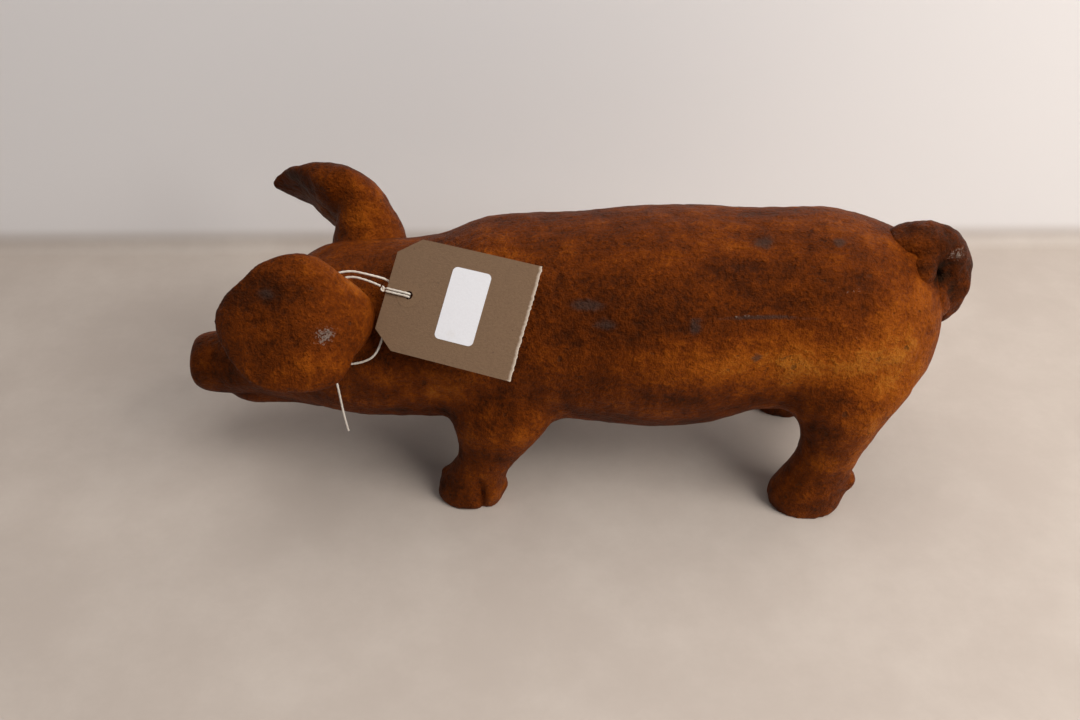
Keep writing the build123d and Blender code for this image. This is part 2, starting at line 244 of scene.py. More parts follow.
# %% Board paint
board_paint = Finish("board paint")
place = board_paint.place()
height = board_paint.node("ShaderNodeSeparateXYZ", {}, {0: place}, "Z")
wall = board_paint.ramp(height, 0.004, 0.02)
scuffs = board_paint.ramp(board_paint.noise(place, 9.0, 6.0, 0.7), 0.35, 0.75)
tone = board_paint.mix(wall, board_paint.mix(scuffs, *FLOOR_TONES), WALL_TONE)
board.data.materials.append(board_paint.finish(Base_Color=tone, Roughness=0.55))
from_behind = board_paint.node("ShaderNodeNewGeometry", output="Backfacing")
painted = Value(board_paint, board_paint.shader.outputs["BSDF"])
clear = board_paint.node("ShaderNodeBsdfTransparent")
one_sided = board_paint.node("ShaderNodeMixShader", {}, {0: from_behind, 1: painted, 2: clear})
board_paint.feed(board_paint.tree.nodes["Material Output"].inputs["Surface"], one_sided)
print("board paint of", len(board_paint.tree.nodes), "nodes")

# %% [markdown]
# ## Light
# A broad window on the right lights the pig, and a pale ceiling softens its shadow. Square area lamps
# give such light, and a faint cool world stands for the rest of the room.

# %% Light
LAMPS = (
    ("window", (1.05, -0.65, 1.05), 0.9, 25.0, (1.0, 0.97, 0.93)),
    ("ceiling", (-0.1, 0.0, 1.45), 1.0, 8.0, (1.0, 0.98, 0.96)),
)
ROOM_COLOUR = (0.80, 0.82, 0.88, 1.0)
ROOM_STRENGTH = 0.22


def add_lamp(name, where, size, power, colour):
    """A square area lamp that faces the middle of the pig."""
    lamp = bpy.data.lights.new(name, "AREA")
    lamp.size = size
    lamp.energy = power
    lamp.color = colour
    holder = bpy.data.objects.new(name, lamp)
    holder.location = where
    holder.rotation_euler = (Vector(where) - LOOK_AT).to_track_quat("Z", "Y").to_euler()
    bpy.context.scene.collection.objects.link(holder)


for lamp_values in LAMPS:
    add_lamp(*lamp_values)
world = bpy.data.worlds.new("room")
world.use_nodes = True
background = world.node_tree.nodes["Background"]
background.inputs["Color"].default_value = ROOM_COLOUR
background.inputs["Strength"].default_value = ROOM_STRENGTH
bpy.context.scene.world = world
bpy.context.scene.view_settings.view_transform = "Standard"
print("lamps", [values[0] for values in LAMPS])

# %% [markdown]
# ## String
# A cotton string goes twice round the ear's stalk and hangs down to its cut end. The route's points are
# those of the CAD tube. A NURBS spline smooths them, and numpy carries a twisted two-ply profile along
# that line.

# %% String route
STRING_DIAMETER = 0.0012
STRING_STEP = 0.0004
SPLINE_STEPS = 16
STRING_ROUTE = (
    (-0.0966, -0.0305, 0.1330),
    (-0.1029, -0.0270, 0.1337),
    (-0.1137, -0.0250, 0.1354),
    (-0.1255, -0.0289, 0.1312),
    (-0.1331, -0.0356, 0.1239),
    (-0.1342, -0.0425, 0.1134),
    (-0.1296, -0.0477, 0.1023),
    (-0.1179, -0.0511, 0.0969),
    (-0.1067, -0.0521, 0.0984),
    (-0.0972, -0.0510, 0.1036),
    (-0.0931, -0.0404, 0.1185),
    (-0.0881, -0.0339, 0.1262),
    (-0.0907, -0.0263, 0.1334),
    (-0.1028, -0.0262, 0.1370),
    (-0.1146, -0.0243, 0.1383),
    (-0.1284, -0.0281, 0.1346),
    (-0.1374, -0.0361, 0.1258),
    (-0.1384, -0.0445, 0.1131),
    (-0.1317, -0.0496, 0.1018),
    (-0.1223, -0.0525, 0.0960),
    (-0.1199, -0.0545, 0.0882),
    (-0.1187, -0.0560, 0.0772),
    (-0.1180, -0.0562, 0.0658),
    (-0.1169, -0.0554, 0.0544),
)


def spline_points(route, per_run):
    """Points along the NURBS spline whose control points are the route."""
    curve = bpy.data.curves.new("route", "CURVE")
    curve.dimensions = "3D"
    curve.resolution_u = per_run
    spline = curve.splines.new("NURBS")
    spline.points.add(len(route) - 1)
    spline.points.foreach_set("co", np.column_stack([route, np.ones(len(route))]).ravel())
    spline.order_u = 3
    spline.use_endpoint_u = True
    holder = bpy.data.objects.new("route", curve)
    line = bpy.data.meshes.new_from_object(holder)
    points = np.empty(3 * len(line.vertices))
    line.vertices.foreach_get("co", points)
    bpy.data.objects.remove(holder)
    bpy.data.curves.remove(curve)
    bpy.data.meshes.remove(line)
    return points.reshape(-1, 3)


def lengths_along(path):
    """Distance from the start of a path to each of its points."""
    return np.concatenate([[0.0], np.cumsum(np.linalg.norm(np.diff(path, axis=0), axis=1))])


def even_steps(path, step):
    """The same path with its points a fixed step apart."""
    along = lengths_along(path)
    marks = np.linspace(0.0, along[-1], int(along[-1] / step) + 1)
    return np.stack([np.interp(marks, along, path[:, axis]) for axis in range(3)], axis=1)


string_line = even_steps(spline_points(STRING_ROUTE, SPLINE_STEPS), STRING_STEP)

# %% Twisted strand
PLY_PITCH = 0.0031
WAIST = 0.80
STRAND_TIP = 0.02


def unit(vectors):
    """The same directions with a length of 1."""
    return vectors / np.linalg.norm(vectors, axis=-1, keepdims=True)


def twisted_tube(name, path, radius, sideways, sides=14, closed=False):
    """A two-ply strand along a path.

    Each ring stands square to the path. Its radius is a circle's with two shallow waists, and the waists
    turn as the path goes on. An open strand's end rings shrink nearly to a point.
    """
    heading = np.gradient(path, axis=0)
    if closed:
        heading = np.roll(path, -1, axis=0) - np.roll(path, 1, axis=0)
    heading = unit(heading)
    side = unit(np.cross(heading, sideways))
    up = np.cross(side, heading)
    angle = np.linspace(0, 2 * math.pi, sides, endpoint=False)
    twist = 2 * math.pi * lengths_along(path) / PLY_PITCH
    waist = WAIST + (1 - WAIST) * np.abs(np.cos(angle[None, :] - twist[:, None] / 2))
    if not closed:
        waist[[0, -1]] = STRAND_TIP
        path = np.vstack([path[:1], path, path[-1:]])
        waist = np.vstack([waist[:1], waist[1:2], waist[1:-1], waist[-2:-1], waist[-1:]])
        side = np.vstack([side[:1], side, side[-1:]])
        up = np.vstack([up[:1], up, up[-1:]])
    around = np.cos(angle)[None, :, None] * side[:, None] + np.sin(angle)[None, :, None] * up[:, None]
    points = path[:, None] + radius * waist[..., None] * around
    return grid_mesh(name, points[:, ::-1], close_rows=closed, close_columns=True)


print("strand helper ready")

# %% [markdown]
# ## Cotton
# Undyed cotton string is a warm off-white with a soft, dull surface. Fine noise along the fibres breaks
# up its colour, and the waists of the twist are already in the mesh.

# %% Cotton finish
cotton = Finish("cotton")
place = cotton.place()
fibres = cotton.noise(place, 2600.0, 3.0, 0.7)
soil = cotton.ramp(cotton.noise(place, 90.0), 0.4, 0.75)
tone = cotton.mix(fibres, (0.50, 0.44, 0.36), (0.82, 0.77, 0.69))
tone = cotton.mix(soil * 0.45, tone, (0.45, 0.30, 0.19))
cotton_finish = cotton.finish(
    Base_Color=tone,
    Roughness=0.9,
    Sheen_Weight=0.3,
    Normal=cotton.bump(fibres, 0.0002),
)
print("cotton of", len(cotton.tree.nodes), "nodes")

# %% String piece
STALK_AXIS = np.array((0.0, -0.834, 0.552))


def add_piece(name, mesh, finish, body, slot, *nodes):
    """Show a mesh as a piece of the object that rides on a body and stands for CAD nodes."""
    piece = bpy.data.objects.new(name, mesh)
    bpy.context.scene.collection.objects.link(piece)
    mesh.materials.clear()
    mesh.materials.append(finish)
    mesh.shade_smooth()
    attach(piece, body)
    if nodes:
        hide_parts(*nodes)
    return piece


string_mesh = twisted_tube("string", string_line, STRING_DIAMETER / 2, STALK_AXIS)
string = add_piece("string", string_mesh, cotton_finish, "pig", "cotton", "string_loop")
print("string of", len(string_mesh.polygons), "faces")

# %% [markdown]
# ## Tag
# The tag is a stock buff card with two clipped corners and a hole in a pasted ring. Its far end has been
# cut off roughly. Every point of it is given by two distances on the card, along and across, and a small
# bow lifts the middle, so the sticker and the ring bend with it.

# %% Tag sizes and directions
TAG_ALONG = np.array((0.9452, -0.3263, -0.0120))
TAG_OUT = np.array((-0.2204, -0.6647, 0.7139))
TAG_ACROSS = np.cross(TAG_OUT, TAG_ALONG)
TAG_LENGTH, TAG_WIDTH = 0.078, 0.060
CLIP_LENGTH, CLIP_WIDTH = 0.012, 0.0092
CARD_THICKNESS = 0.0005
HOLE_INSET, HOLE_RADIUS = 0.013, 0.0022
RING_RADIUS, RING_THICKNESS = 0.0065, 0.00025
STICKER_SIZE = (0.0212, 0.0381)
STICKER_PLACE = (0.0433, 0.0010)
STICKER_CORNER, STICKER_THICKNESS = 0.0026, 0.00015
BOW = 0.0007
KNOT_SETBACK = 0.0015
STRAND_GAP = 0.0003
STRAND_LEVEL = CARD_THICKNESS + RING_THICKNESS + STRING_DIAMETER / 2 + STRAND_GAP

knot_place = np.array(frame["joints"][0]["pos_m"])
tag_corner = knot_place + KNOT_SETBACK * TAG_ALONG - STRAND_LEVEL * TAG_OUT
print("knot at", np.round(knot_place, 4))

# %% Tag surfaces


def on_tag(along, across, level):
    """Points of the tag from distances along and across it and a level above its underside.

    A parabola that is zero at the hole's end and at the cut end lifts the middle by the bow.
    """
    bow = 4 * BOW * (along / TAG_LENGTH) * (1 - along / TAG_LENGTH)
    return (
        tag_corner
        + along[..., None] * TAG_ALONG
        + across[..., None] * TAG_ACROSS
        + (level + bow)[..., None] * TAG_OUT
    )


def outline_steps(corners, step):
    """Points a small step apart round a closed outline, with every corner kept."""
    corners = np.asarray(corners)
    runs = []
    for start, end in zip(corners, np.roll(corners, -1, axis=0)):
        count = max(int(np.linalg.norm(end - start) / step), 1)
        share = np.linspace(0, 1, count, endpoint=False)[:, None]
        runs.append(start + share * (end - start))
    return np.concatenate(runs)


def thick_ring(name, inner, outer, level, thickness, rings):
    """A flat plate between an inner and an outer loop of the same number of points.

    One parameter goes from the inner loop to the outer one and the other goes round. The upper face, the
    outer wall, the lower face and the inner wall are rows of one closed grid.
    """
    share = np.linspace(0, 1, rings)[:, None, None]
    flat = inner + share * (outer - inner)
    top = on_tag(flat[..., 0], flat[..., 1], np.full(flat.shape[:2], level + thickness))
    bottom = on_tag(flat[..., 0], flat[..., 1], np.full(flat.shape[:2], level))
    points = np.concatenate([top, bottom[::-1]])
    return grid_mesh(name, points, close_rows=True, close_columns=True)


def loop_round(outline, middle, radius):
    """The points of a circle that lie towards the points of an outline."""
    return middle + radius * unit(outline - middle)


print("tag surface helpers ready")

# %% Tag card
OUTLINE_STEP = 0.0005
CUT_POINTS, CUT_RAGGEDNESS, CUT_SEED = 70, 0.00022, 7

edge = TAG_WIDTH / 2
card_corners = (
    (0.0, CLIP_WIDTH - edge),
    (CLIP_LENGTH, -edge),
    (TAG_LENGTH, -edge),
    (TAG_LENGTH, edge),
    (CLIP_LENGTH, edge),
    (0.0, edge - CLIP_WIDTH),
)
card_outline = outline_steps(card_corners, OUTLINE_STEP)
cut_places = np.linspace(-edge, edge, CUT_POINTS)
cut_offsets = np.random.default_rng(CUT_SEED).normal(0, CUT_RAGGEDNESS, CUT_POINTS)
ragged = np.interp(card_outline[:, 1], cut_places, cut_offsets)
cut_end = np.isclose(card_outline[:, 0], TAG_LENGTH)
card_outline[:, 0] += np.where(cut_end, ragged, 0.0)
hole_middle = np.array((HOLE_INSET, 0.0))
hole_loop = loop_round(card_outline, hole_middle, HOLE_RADIUS)
card_mesh = thick_ring("tag_card", hole_loop, card_outline, 0.0, CARD_THICKNESS, rings=40)
print("card of", len(card_mesh.polygons), "faces")

# %% Tag ring
RING_POINTS = 96
RING_RISE = RING_THICKNESS / 2

ring_turn = np.linspace(0, 2 * math.pi, RING_POINTS, endpoint=False)
ring_loop = np.column_stack([np.cos(ring_turn), np.sin(ring_turn)])
ring_mesh = thick_ring(
    "tag_ring",
    hole_middle + HOLE_RADIUS * ring_loop,
    hole_middle + RING_RADIUS * ring_loop,
    CARD_THICKNESS,
    RING_RISE,
    rings=6,
)
print("ring of", len(ring_mesh.polygons), "faces")

# %% Tag sticker
STICKER_STEP = 0.002
STICKER_CORE = 0.00005

corner_turn = np.linspace(0, math.pi / 2, 9)
quarter = STICKER_CORNER * np.column_stack([np.cos(corner_turn), np.sin(corner_turn)])
reach = np.array(STICKER_SIZE) / 2 - STICKER_CORNER
quarters = [
    reach + quarter,
    (reach + quarter[::-1]) * (-1, 1),
    -(reach + quarter),
    (reach + quarter[::-1]) * (1, -1),
]
sticker_outline = outline_steps(np.concatenate(quarters) + STICKER_PLACE, STICKER_STEP)
sticker_core = loop_round(sticker_outline, np.array(STICKER_PLACE), STICKER_CORE)
sticker_mesh = thick_ring(
    "tag_sticker",
    sticker_core,
    sticker_outline,
    CARD_THICKNESS,
    STICKER_THICKNESS,
    rings=10,
)
print("sticker of", len(sticker_mesh.polygons), "faces")

# %% [markdown]
# ## Card and paper
# Buff card is recycled pulp: a grey-brown ground with fine darker and paler fibres, and a paler line of
# torn fibre along the rough cut. The sticker is smooth white paper, left blank.

# %% Card finish
card = Finish("buff card")
place = card.place()
pulp = card.noise(card.stretched(place, (1.0, 1.4, 1.4)), 700.0, 5.0, 0.7)
blotch = card.noise(place, 55.0, 3.0)
specks = card.ramp(card.noise(place, 420.0, 2.0), 0.68, 0.78)
tone = card.mix(pulp, (0.120, 0.066, 0.032), (0.240, 0.142, 0.076))
tone = card.mix(blotch * 0.35, tone, (0.150, 0.092, 0.052))
tone = card.mix(specks * 0.5, tone, (0.070, 0.042, 0.026))
tone = card.mix(card.paint("torn"), tone, (0.60, 0.50, 0.40))
card_finish = card.finish(Base_Color=tone, Roughness=0.85, Normal=card.bump(pulp, 0.00025))
print("buff card of", len(card.tree.nodes), "nodes")

# %% Ring and sticker finishes
ring_card = Finish("ring card")
place = ring_card.place()
pulp = ring_card.noise(place, 800.0, 4.0, 0.7)
tone = ring_card.mix(pulp, (0.128, 0.071, 0.034), (0.230, 0.136, 0.072))
ring_finish = ring_card.finish(Base_Color=tone, Roughness=0.8, Normal=ring_card.bump(pulp, 0.0002))

sticker_paper = Finish("sticker paper")
place = sticker_paper.place()
grain = sticker_paper.noise(place, 900.0, 3.0)
dust = sticker_paper.ramp(sticker_paper.noise(place, 130.0, 4.0), 0.55, 0.8)
tone = sticker_paper.mix(grain, (0.74, 0.73, 0.75), (0.82, 0.81, 0.83))
tone = sticker_paper.mix(dust * 0.2, tone, (0.62, 0.55, 0.48))
sticker_finish = sticker_paper.finish(
    Base_Color=tone,
    Roughness=0.42,
    Normal=sticker_paper.bump(grain, 0.00004),
)
print("sticker paper of", len(sticker_paper.tree.nodes), "nodes")

# %% Tag pieces
TORN_DEPTH, TORN_FADE = 0.0011, 0.0006
TAG_CREASE = math.radians(40)


def set_paint(mesh, name, amounts):
    """Keep one number at each point of a mesh, for a finish to read."""
    layer = mesh.attributes.new(name, "FLOAT", "POINT")
    layer.data.foreach_set("value", np.asarray(amounts, dtype=np.float32))


def mesh_points(mesh):
    """The points of a mesh as an array."""
    points = np.empty(3 * len(mesh.vertices))
    mesh.vertices.foreach_get("co", points)
    return points.reshape(-1, 3)


along = (mesh_points(card_mesh) - tag_corner) @ TAG_ALONG
set_paint(card_mesh, "torn", np.clip((along - TAG_LENGTH + TORN_DEPTH) / TORN_FADE, 0, 1))
tag_card = add_piece("tag_card_face", card_mesh, card_finish, "tag", "buff_card", "tag_card")
tag_ring = add_piece("tag_ring", ring_mesh, ring_finish, "tag", "buff_card", "tag_patch")
tag_label = add_piece("tag_label", sticker_mesh, sticker_finish, "tag", "white_paper", "tag_sticker")
for piece in (tag_card, tag_ring, tag_label):
    piece.data.set_sharp_from_angle(angle=TAG_CREASE)
print("tag pieces", tag_card.name, tag_ring.name, tag_label.name)

# %% [markdown]
# ## Knot and hitch
# The string is tied in a small knot at the tag's end, and two strands run from it through the hole and
# back under the card. The knot is a trefoil curve, the simplest real knot. The strands are two bends of
# the string.

# %% Knot
KNOT_RADIUS = 0.0016
KNOT_STRAND_RADIUS = 0.42 * STRING_DIAMETER
TREFOIL_STRETCH = 1.4

knot_turn = np.linspace(0, 2 * math.pi, 120, endpoint=False)
knot_waves = np.stack([
    np.sin(knot_turn) + 2 * np.sin(2 * knot_turn),
    np.cos(knot_turn) - 2 * np.cos(2 * knot_turn),
    -TREFOIL_STRETCH * np.sin(3 * knot_turn),
], axis=1) / 3
knot_path = knot_place + (KNOT_RADIUS - STRING_DIAMETER / 3) * (
    knot_waves[:, :1] * TAG_ACROSS + knot_waves[:, 1:2] * TAG_OUT + knot_waves[:, 2:] * TAG_ALONG
)
knot_mesh = twisted_tube("knot", knot_path, KNOT_STRAND_RADIUS, TAG_ALONG, closed=True)
knot = add_piece("knot", knot_mesh, cotton_finish, "knot", "cotton", "string_knot")
print("knot of", len(knot_mesh.polygons), "faces")

# %% Hitch
STRAND_SPACING = 0.0015
HITCH_BEND = 0.0010
HITCH_STEP = 0.0003

strand_start = KNOT_RADIUS + STRAND_GAP - KNOT_SETBACK
under_level = -STRING_DIAMETER / 2 - STRAND_GAP
bend = np.linspace(0, math.pi / 2, 10)
upper_along = HOLE_INSET - HITCH_BEND + HITCH_BEND * np.sin(bend)
upper_level = STRAND_LEVEL - HITCH_BEND + HITCH_BEND * np.cos(bend)
lower_along = HOLE_INSET - HITCH_BEND + HITCH_BEND * np.cos(bend)
lower_level = under_level + HITCH_BEND - HITCH_BEND * np.sin(bend)
strand_along = np.concatenate([[strand_start], upper_along, lower_along, [strand_start]])
strand_level = np.concatenate([[STRAND_LEVEL], upper_level, lower_level, [under_level]])
strand_meshes = []
for side in (-1, 1):
    path = (
        tag_corner
        + strand_along[:, None] * TAG_ALONG
        + side * STRAND_SPACING / 2 * TAG_ACROSS
        + strand_level[:, None] * TAG_OUT
    )
    path = even_steps(path, HITCH_STEP)
    strand_meshes.append(twisted_tube("strand", path, STRING_DIAMETER / 2, TAG_ACROSS))


def joined(name, meshes):
    """One mesh that holds several."""
    shape = bmesh.new()
    for mesh in meshes:
        shape.from_mesh(mesh)
    whole = bpy.data.meshes.new(name)
    shape.to_mesh(whole)
    shape.free()
    return whole


hitch_mesh = joined("hitch", strand_meshes)
hitch = add_piece("hitch", hitch_mesh, cotton_finish, "tag", "cotton", "string_hitch")
print("hitch of", len(hitch_mesh.polygons), "faces")

# %% [markdown]
# ## Castings
# Sand-cast iron has no sharp inner corners, and its skin is slightly lumpy. The CAD solids have the right
# form but crisp joints. A voxel remesh gives each casting an even grid of points, and numpy then works on
# all points at once: it fills inner corners as a pattern-maker's fillet does, and adds a gentle
# unevenness.

# %% Triangles of a casting


def node_triangles(*nodes):
    """The triangles of CAD nodes, as an array of triangles by corners by coordinates."""
    found = []
    for node in nodes:
        mesh = frame["nodes"][node].data
        mesh.calc_loop_triangles()
        corners = np.empty(3 * len(mesh.loop_triangles), dtype=np.int32)
        mesh.loop_triangles.foreach_get("vertices", corners)
        found.append(mesh_points(mesh)[corners].reshape(-1, 3, 3))
    return np.concatenate(found)


def ball_triangles(middle, reach, lean, rows=25, columns=40):
    """Triangles of an ellipsoid from its latitudes and longitudes, leaned over by degrees about Y."""
    latitude = np.linspace(-math.pi / 2, math.pi / 2, rows)[:, None]
    longitude = np.linspace(0, 2 * math.pi, columns + 1)[None, :]
    round_x = reach[0] * np.cos(latitude) * np.cos(longitude)
    round_y = reach[1] * np.cos(latitude) * np.sin(longitude)
    round_z = reach[2] * np.sin(latitude) + 0 * longitude
    cosine, sine = math.cos(math.radians(lean)), math.sin(math.radians(lean))
    leaned_x = cosine * round_x + sine * round_z
    leaned_z = cosine * round_z - sine * round_x
    points = np.stack([leaned_x, round_y, leaned_z], axis=-1) + middle
    corners = (points[:-1, :-1], points[:-1, 1:], points[1:, 1:], points[1:, :-1])
    lower = np.stack([corners[0], corners[1], corners[2]], axis=2)
    upper = np.stack([corners[0], corners[2], corners[3]], axis=2)
    return np.concatenate([lower.reshape(-1, 3, 3), upper.reshape(-1, 3, 3)])


print("triangle helpers ready")

# %% Even grid
BODY_VOXEL = 0.0015
SMALL_VOXEL = 0.0010


def even_grid(name, triangles, voxel):
    """Merge loose triangles into a skin and remesh it to quads of one size."""
    points, corners = np.unique(np.round(triangles.reshape(-1, 3), 6), axis=0, return_inverse=True)
    skin = bpy.data.meshes.new(name)
    skin.from_pydata(points.tolist(), [], corners.reshape(-1, 3).tolist())
    holder = bpy.data.objects.new(name, skin)
    bpy.context.scene.collection.objects.link(holder)
    remesh = holder.modifiers.new("even grid", "REMESH")
    remesh.mode = "VOXEL"
    remesh.voxel_size = voxel
    remesh.adaptivity = 0.0
    ready = holder.evaluated_get(bpy.context.evaluated_depsgraph_get())
    grid = bpy.data.meshes.new_from_object(ready)
    bpy.data.objects.remove(holder)
    bpy.data.meshes.remove(skin)
    return grid


print("voxels of", BODY_VOXEL, "and", SMALL_VOXEL, "m")

# %% Smooth and fill
PULL, PUSH_BACK = 0.50, 0.52


def mesh_edges(mesh):
    """Pairs of points that an edge joins."""
    edges = np.empty(2 * len(mesh.edges), dtype=np.int32)
    mesh.edges.foreach_get("vertices", edges)
    return edges.reshape(-1, 2)


def mesh_normals(mesh):
    """The outward direction at each point."""
    normals = np.empty(3 * len(mesh.vertices))
    mesh.vertex_normals.foreach_get("vector", normals)
    return normals.reshape(-1, 3)


def move_points(mesh, points):
    """Put an array of points back into a mesh."""
    mesh.vertices.foreach_set("co", points.ravel())
    mesh.update()


def neighbour_middle(points, edges):
    """The middle of the points that share an edge with each point."""
    ends = np.concatenate([edges, edges[:, ::-1]])
    count = np.bincount(ends[:, 0], minlength=len(points))
    sums = [np.bincount(ends[:, 0], points[ends[:, 1], axis], len(points)) for axis in range(3)]
    return np.stack(sums, axis=1) / count[:, None]


def smooth(mesh, rounds):
    """Take the voxel steps off without shrinking.

    Each round pulls points halfway to their neighbours' middle, then pushes them away by a little more.
    """
    edges = mesh_edges(mesh)
    points = mesh_points(mesh)
    for _ in range(rounds):
        points = points + PULL * (neighbour_middle(points, edges) - points)
        points = points - PUSH_BACK * (neighbour_middle(points, edges) - points)
    move_points(mesh, points)


def fill_corners(mesh, share, rounds, blocks=4):
    """Fill inner corners only: a point moves to its neighbours' middle where that lies outside the skin.

    The outward directions are taken again before each block of rounds.
    """
    edges = mesh_edges(mesh)
    for _ in range(blocks):
        points = mesh_points(mesh)
        normals = mesh_normals(mesh)
        for _ in range(rounds // blocks):
            pull = neighbour_middle(points, edges) - points
            outward = np.sum(pull * normals, axis=1) > 0
            points = points + PULL * (share * outward)[:, None] * pull
        move_points(mesh, points)


print("skin helpers ready")

# %% Lumps and pushes
LUMP_LENGTHS = (0.034, 0.011, 0.005)
FINEST_SHARE = 0.4


def lumps(points, wavelength, seed, waves=48):
    """A random even unevenness, about -1 to 1: a sum of sine waves of one length in all directions."""
    random = np.random.default_rng(seed)
    heading = unit(random.normal(size=(waves, 3)))
    length = wavelength * random.uniform(0.7, 1.4, waves)
    phase = random.uniform(0, 2 * math.pi, waves)
    return np.sin(points @ (2 * math.pi / length * heading.T) + phase).sum(axis=1) / math.sqrt(waves)


def near(points, middle, reach):
    """1 at a place, falling to 0 beyond its reach, as a bell curve. The reach may differ by axis."""
    return np.exp(-np.sum(((points - middle) / reach) ** 2, axis=1))


def push(mesh, moves):
    """Move the skin near a place by a short vector, which fades with distance as a bell curve."""
    points = mesh_points(mesh)
    for middle, reach, move in moves:
        points = points + near(points, middle, reach)[:, None] * move
    move_points(mesh, points)


def roughen(mesh, coarse, fine, keep=0.0):
    """Push the skin in and out by lumps of three sizes, less where it is kept."""
    points = mesh_points(mesh)
    heights = (coarse, fine, FINEST_SHARE * fine)
    sizes = enumerate(zip(heights, LUMP_LENGTHS), start=1)
    rise = sum(height * lumps(points, length, seed) for seed, (height, length) in sizes)
    move_points(mesh, points + ((1 - keep) * rise)[:, None] * mesh_normals(mesh))


print("lumps of", LUMP_LENGTHS, "m")

# %% [markdown]
# ## The two halves
# The halves are remeshed as one skin, so that they still meet after the corners are filled, and then cut
# apart again along the seam. The eyes, nostrils, mouth, hooves and screw seats keep their crisp form.

# %% Places on the halves
MIRROR = np.array((1, -1, 1))
LEFT_KEPT = {
    "nostril": ((-0.2155, -0.007, 0.056), 0.010),
    "eye": ((-0.150, -0.036, 0.086), 0.009),
    "front hoof": ((-0.068, -0.04525, 0.006), 0.012),
    "hind hoof": ((0.121, -0.0438, 0.006), 0.012),
}
OTHER_KEPT = {
    "mouth": ((-0.190, 0.0, 0.045), (0.022, 0.030, 0.010)),
    "front screw": ((-0.0899, 0.049, 0.0845), 0.011),
    "middle screw": ((0.0509, 0.060, 0.0964), 0.011),
    "rear screw": ((0.1352, 0.055, 0.103), 0.011),
}
LEFT_MOVES = {
    "crown": ((-0.1430, -0.0150, 0.1260), (0.0240, 0.0200, 0.0240), (0.0, -0.0024, 0.0032)),
    "haunch": ((0.178, -0.044, 0.089), (0.014, 0.024, 0.013), (0.0042, -0.0008, -0.0010)),
    "back": ((0.112, -0.010, 0.158), (0.034, 0.040, 0.020), (0.0, 0.0, 0.0006)),
    "toe crease": ((-0.0455, -0.0600, 0.0090), (0.0020, 0.0100, 0.0130), (0.0, 0.0030, 0.0)),
    "heel lobe": ((-0.0385, -0.0550, 0.0100), (0.0050, 0.0080, 0.0100), (0.0010, -0.0020, 0.0)),
    "toe knob": ((-0.0690, -0.0400, 0.0150), (0.0040, 0.0045, 0.0040), (-0.0030, 0.0, 0.0012)),
}
TAIL_MOUND = ((0.1810, 0.0, 0.1375), (0.0165, 0.0165, 0.0105), 38.0)

kept_places = [*LEFT_KEPT.values(), *OTHER_KEPT.values()]
kept_places += [(middle * MIRROR, reach) for middle, reach in LEFT_KEPT.values()]
moves = list(LEFT_MOVES.values())
moves += [(middle * MIRROR, reach, move * MIRROR) for middle, reach, move in LEFT_MOVES.values()]
print(len(kept_places), "kept places and", len(moves), "moves")

# %% Body skin
SEAM_WIDTH = 0.00001
BODY_SMOOTHING, BODY_FILL = 5, 120
BODY_LUMPS = (0.00030, 0.00016)
SOLE_HEIGHT = 0.0022
KEPT_GAIN = 1.6
KEPT_CALM = 0.6

half_triangles = node_triangles("left_half", "right_half")
on_seam = np.all(np.abs(half_triangles[..., 1]) < SEAM_WIDTH, axis=1)
body_triangles = np.concatenate([half_triangles[~on_seam], ball_triangles(*TAIL_MOUND)])
body_mesh = even_grid("body", body_triangles, BODY_VOXEL)
smooth(body_mesh, BODY_SMOOTHING)
points = mesh_points(body_mesh)
kept = np.max([near(points, middle, kept_reach) for middle, kept_reach in kept_places], axis=0)
kept = np.clip(KEPT_GAIN * kept, 0, 1)
sole = points[:, 2] < SOLE_HEIGHT
fill_corners(body_mesh, np.where(sole, 0, 1 - kept), BODY_FILL)
push(body_mesh, moves)
roughen(body_mesh, *BODY_LUMPS, np.where(sole, 1, KEPT_CALM * kept))
points = mesh_points(body_mesh)
points[:, 2] = np.maximum(points[:, 2], 0.0)
move_points(body_mesh, points)
print("body of", len(body_mesh.polygons), "quads")
